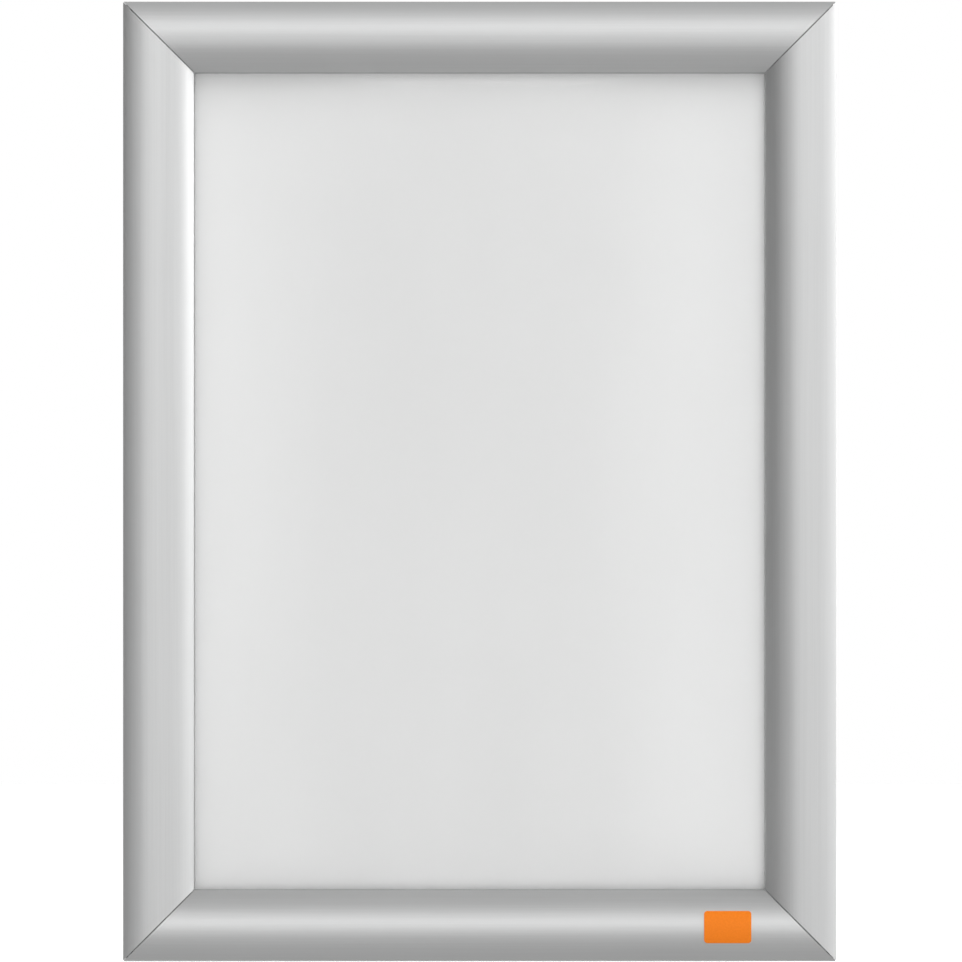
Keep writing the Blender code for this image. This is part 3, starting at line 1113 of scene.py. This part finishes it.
@dataclass
class CornerKey:
    """The L plate that joins two base rails."""

    corner: Corner
    back: float = 1.3 * MM
    thickness: float = 1.6 * MM
    reach: float = 28 * MM
    chamfer: float = 1.5 * MM
    crook: float = 1 * MM
    edge_radius: float = 0.12 * MM
    hole_radius: float = 1.6 * MM
    sink_radius: float = 2.1 * MM
    sink_depth: float = 0.3 * MM
    sink_overrun: float = 0.1 * MM
    overrun: float = 1 * MM

    def build(self) -> Object:
        """Makes the plate, with a staking hole in each leg."""
        near = SIZES.channel_outer + SIZES.fit_gap
        far = near + SIZES.key_width
        cut = self.chamfer
        front = self.back + self.thickness
        pen = OutlinePen((near, near))
        pen.round_here(cut)
        pen.line((near, self.reach - cut), (near + cut, self.reach))
        pen.line((far - cut, self.reach), (far, self.reach - cut))
        pen.corners(self.crook, (far, far))
        pen.line((self.reach - cut, far), (self.reach, far - cut))
        pen.line((self.reach, near + cut), (self.reach - cut, near))
        bm = extruded(pen, (self.thickness, 0, 0))
        stand = Matrix(((0, 1, 0, 0), (0, 0, 1, 0), (1, 0, 0, self.back), (0, 0, 0, 1)))
        bm.transform(self.corner.place @ stand)
        middle = (near + far) / 2
        along = self.reach - SIZES.key_width / 2
        through = (self.back - self.overrun, front + self.overrun)
        sink = (front - self.sink_depth, front + self.sink_overrun)
        places = ((along, middle), (middle, along))
        holes = sunk_holes(self.hole_radius, through, self.sink_radius, sink, places)
        for hole in holes:
            hole.transform(self.corner.place)
        made = Piece(f"key_plate_{self.corner.word}", bm, (ZINC,), self.edge_radius, holes).make()
        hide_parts(f"corner_key_{self.corner.word}")
        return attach(made, "base_frame")


@dataclass
class LeafSpring:
    """A bowed strip between a snap rail's hook and its base rail's rib."""

    side: Side
    end: str
    direction: int
    thickness: float = 0.4 * MM
    length: float = 20 * MM
    rise: float = 1.6 * MM
    seat_angle: float = radians(-45)
    from_corner: float = 80 * MM
    corner_radius: float = 1.6 * MM
    edge_radius: float = 0.06 * MM
    cuts: int = 20
    still_share: float = 0.3

    def build(self) -> Object:
        """Makes the strip in place between its base rail's rib and its snap rail's hook."""
        half = self.thickness / 2
        seat = SIZES.hook_outer_radius + SIZES.fit_gap + half
        hook = on_circle(SIZES.hinge, seat, self.seat_angle)
        away = SIZES.fit_gap + half
        rib = (SIZES.channel_inner - away, SIZES.web_front + away)
        chord = hypot(rib[0] - hook[0], rib[1] - hook[1])
        radius = (chord**2 / 4 + self.rise**2) / (2 * self.rise)
        centre = crossing(hook, radius, rib, radius)
        start, stop = angle_from(centre, hook), angle_from(centre, rib)
        bm = rounded_sheet(self.length, radius * (start - stop), self.corner_radius, self.cuts)
        thickened(bm, self.thickness)
        bmesh.ops.translate(bm, vec=(0, 0, -half), verts=bm.verts)
        wrapped(bm, centre, radius, (start + stop) / 2)
        along = self.direction * (self.side.length / 2 - self.from_corner)
        bmesh.ops.translate(bm, vec=(along, 0, 0), verts=bm.verts)
        bm.transform(self.side.place)
        name = f"{self.side.word}_{self.end}"
        made = Piece(f"spring_strip_{name}", bm, (SPRING_STEEL,), self.edge_radius).make()
        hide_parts(f"leaf_spring_{name}")
        from_rib = Vector((along, *rib))
        to_hook = Vector((along, *hook))
        still = self.side.place @ from_rib.lerp(to_hook, self.still_share)
        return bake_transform(made, "base_frame", self.side.body, still, self.side.place @ to_hook)


@dataclass
class BackPanel:
    """The pale sheet behind the poster."""

    play: float = 1.5 * MM
    thickness: float = 1 * MM
    edge_radius: float = 0.15 * MM

    def build(self) -> Object:
        """Makes the sheet in the base rails' slots."""
        margin = SIZES.channel_inner + SIZES.channel_wall + self.play
        size = (SIZES.width - 2 * margin, self.thickness, SIZES.height - 2 * margin)
        bm = box(size, (0, -SIZES.panel_back - self.thickness / 2, 0))
        finish = PanelPlastic("panel_plastic")
        made = Piece("panel_sheet", bm, (finish,), self.edge_radius).make()
        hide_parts("back_panel")
        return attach(made, "base_frame")


@dataclass
class ClearCover:
    """The clear anti-glare sheet over the poster, which bows a little forwards."""

    width: float = 210 * MM
    height: float = 297 * MM
    thickness: float = 0.5 * MM
    columns: int = 84
    rows: int = 120
    bow: float = 0.62 * MM
    held: float = 4 * MM
    left_ramp: float = 84 * MM
    right_ramp: float = 75 * MM
    level_ramp: float = 28 * MM

    def _rise(self, inside: float, ramp: float) -> float:
        """Share of the bow at a distance inside an edge of the sheet."""
        share = min(max((inside - self.held) / ramp, 0.0), 1.0)
        return share * (2 - share)

    def _bowed(self, along: float, up: float) -> float:
        """How far the sheet bows forwards at a place."""
        shares = (
            self._rise(self.width / 2 + along, self.left_ramp),
            self._rise(self.width / 2 - along, self.right_ramp),
            self._rise(self.height / 2 - abs(up), self.level_ramp),
        )
        return self.bow * prod(shares)

    def build(self) -> Object:
        """Makes the sheet on the base rails' shelves."""
        bm = bmesh.new()
        bmesh.ops.create_grid(bm, x_segments=self.columns, y_segments=self.rows, size=0.5)
        bmesh.ops.scale(bm, vec=(self.width, self.height, 1), verts=bm.verts)
        for vert in bm.verts:
            vert.co.z = self._bowed(vert.co.x, vert.co.y)
        thickened(bm, self.thickness)
        stand = Matrix.Translation((0, -SIZES.cover_back, 0)) @ Matrix.Rotation(pi / 2, 4, "X")
        bm.transform(stand)
        made = Piece("cover_sheet", bm, (ClearFilm("anti_glare_film"),)).make()
        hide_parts("clear_cover")
        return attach(made, "base_frame")


@dataclass
class BadgeLabel:
    """The plain orange label on the bottom snap rail."""

    width: float = 16.7 * MM
    height: float = 11.4 * MM
    thickness: float = 0.4 * MM
    corner_radius: float = 1.2 * MM
    edge_radius: float = 0.1 * MM
    cuts: int = 24
    from_end: float = 38.4 * MM
    from_edge: float = 12.1 * MM
    lift: float = 0.03 * MM

    def build(self) -> Object:
        """Makes the label and lays it over the crown."""
        centre, radius = SIZES.crown_centre, SIZES.crown_radius
        bm = rounded_sheet(self.width, self.height, self.corner_radius, self.cuts)
        thickened(bm, self.thickness)
        bmesh.ops.translate(bm, vec=(0, 0, self.lift), verts=bm.verts)
        wrapped(bm, centre, radius, acos((self.from_edge - centre[0]) / radius))
        along = SIZES.width / 2 - self.from_end
        bmesh.ops.translate(bm, vec=(along, 0, 0), verts=bm.verts)
        bm.transform(Side.BOTTOM.place)
        made = Piece("label_plate", bm, (LabelVinyl("label_vinyl"),), self.edge_radius).make()
        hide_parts("badge_label")
        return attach(made, Side.BOTTOM.body)


@dataclass(frozen=True)
class Card:
    """A flat studio card, unseen by the camera.

    Attributes:
        name: Name of the card.
        low: Its lowest corner.
        high: Its highest corner.
        radiance: Its brightness.
        mirrored_only: True if it only shows in what mirrors it.
        fades: True if it fades out sideways from its middle.
    """

    name: str
    low: Triple
    high: Triple
    radiance: float
    mirrored_only: bool = True
    fades: bool = False

    def build(self) -> None:
        """Makes the card, which casts no shadow."""
        low, high = Vector(self.low), Vector(self.high)
        made = as_object(self.name, box(high - low, (low + high) / 2))
        middle = (low.x + high.x) / 2
        fade = high.x - middle if self.fades else 0.0
        made.data.materials.append(CardGlow(self.name, self.radiance, middle, fade).material())
        made.visible_camera = False
        made.visible_diffuse = not self.mirrored_only
        made.visible_transmission = False
        made.visible_volume_scatter = False
        made.visible_shadow = False


@dataclass
class Studio:
    """The floor, the cards, the lamp, the world and the camera."""

    floor_height: float = -171 * MM
    floor_radius: float = 6.0
    floor_sides: int = 96
    world_light: float = 0.855
    world_shown: float = 1.0
    lamp_place: Triple = (0.6, -3.0, 6.0)
    lamp_size: float = 3.0
    lamp_watts: float = 205.0
    camera_distance: float = 10.0
    camera_range: Point = (0.1, 60.0)
    view_height: float = 339.87 * MM
    edge_forward: float = 8.7 * MM
    camera_right: float = 0.47 * MM
    camera_up: float = 0.12 * MM
    cards: tuple[Card, ...] = (
        Card("card_left", (-8.61, -19.46, -14), (-8.6, 1.0, 14), 0.136, mirrored_only=False),
        Card("card_right", (1.82, -0.635, 0.165), (1.83, 0.6, 1.34), 4.99, mirrored_only=False),
        Card("card_above", (-4.89, -5.0, 4.01), (4.89, 1.0, 4.02), 0.54, mirrored_only=False),
        Card("card_front", (-3.72, -3.0, 0.42), (0.86, -2.99, 0.99), 1.99),
        Card("card_below", (-2.09, -1.015, -0.28), (2.09, 0.49, -0.27), 0.494),
        Card("card_camera", (-0.38, -9.6, -1.1), (0.32, -9.59, 1.4), 0.1, fades=True),
        Card("card_low", (-0.55, -9.6, -0.42), (-0.38, -9.59, -0.18), 0.1),
    )

    def build_floor(self) -> None:
        """Makes the pale floor just under the frame."""
        bm = bmesh.new()
        bmesh.ops.create_circle(
            bm, cap_ends=True, segments=self.floor_sides, radius=self.floor_radius
        )
        bmesh.ops.translate(bm, vec=(0, 0, self.floor_height), verts=bm.verts)
        made = as_object("floor", bm)
        made.data.materials.append(StudioFloor("studio_floor").material())
        made.visible_glossy = False

    def build_world(self) -> None:
        """Makes a world that lights evenly and looks white."""
        world = bpy.data.worlds.new("studio")
        bpy.context.scene.world = world
        tree = ShaderTree(world)
        looked = tree.looked_at()
        light, shown = (
            tree.node("ShaderNodeBackground", {}, {"Color": WHITE, "Strength": strength})
            for strength in (self.world_light, self.world_shown)
        )
        tree.output(tree.mixed(looked, light, shown), "ShaderNodeOutputWorld")

    def build_lamp(self) -> None:
        """Makes a soft square lamp above, which faces the frame."""
        lamp = bpy.data.lights.new("lamp_above", "AREA")
        lamp.shape = "SQUARE"
        lamp.size = self.lamp_size
        lamp.energy = self.lamp_watts
        made = linked("lamp_above", lamp)
        made.location = self.lamp_place
        made.rotation_euler = (-Vector(self.lamp_place)).to_track_quat("-Z", "Y").to_euler()
        made.visible_camera = False
        made.visible_glossy = False

    def build_camera(self) -> None:
        """Makes the camera straight in front of the frame, with a long lens."""
        data = bpy.data.cameras.new("camera")
        reach = self.camera_distance - self.edge_forward
        data.lens = data.sensor_width * reach / self.view_height
        data.clip_start, data.clip_end = self.camera_range
        made = linked("camera", data)
        made.location = (self.camera_right, -self.camera_distance, self.camera_up)
        made.rotation_euler = (pi / 2, 0, 0)
        bpy.context.scene.camera = made

    def build(self) -> None:
        """Makes the whole studio round the frame."""
        self.build_camera()
        self.build_floor()
        self.build_world()
        for card in self.cards:
            card.build()
        self.build_lamp()
        bpy.context.scene.view_settings.view_transform = "Standard"


def sub_assemblies() -> list[object]:
    """Every sub-assembly of the frame, from the wall forwards."""
    spring_ends = (("left", "right"), ("lower", "upper"), ("right", "left"), ("upper", "lower"))
    made: list[object] = [BaseRail(side) for side in Side]
    made += [CornerKey(corner) for corner in Corner]
    made += [BackPanel(), ClearCover()]
    for side, ends in zip(Side, spring_ends):
        made += [LeafSpring(side, end, way) for end, way in zip(ends, (-1, 1))]
    made += [SnapRail(side) for side in Side]
    made.append(BadgeLabel())
    return made


def main() -> None:
    """Builds the studio and the frame and reports each piece."""
    logging.basicConfig(level=logging.INFO, format="%(message)s")
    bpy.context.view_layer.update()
    Studio().build()
    for part in sub_assemblies():
        piece = part.build()
        LOG.info("%s: %d faces", piece.name, len(piece.data.polygons))


if __name__ == "__main__":
    main()
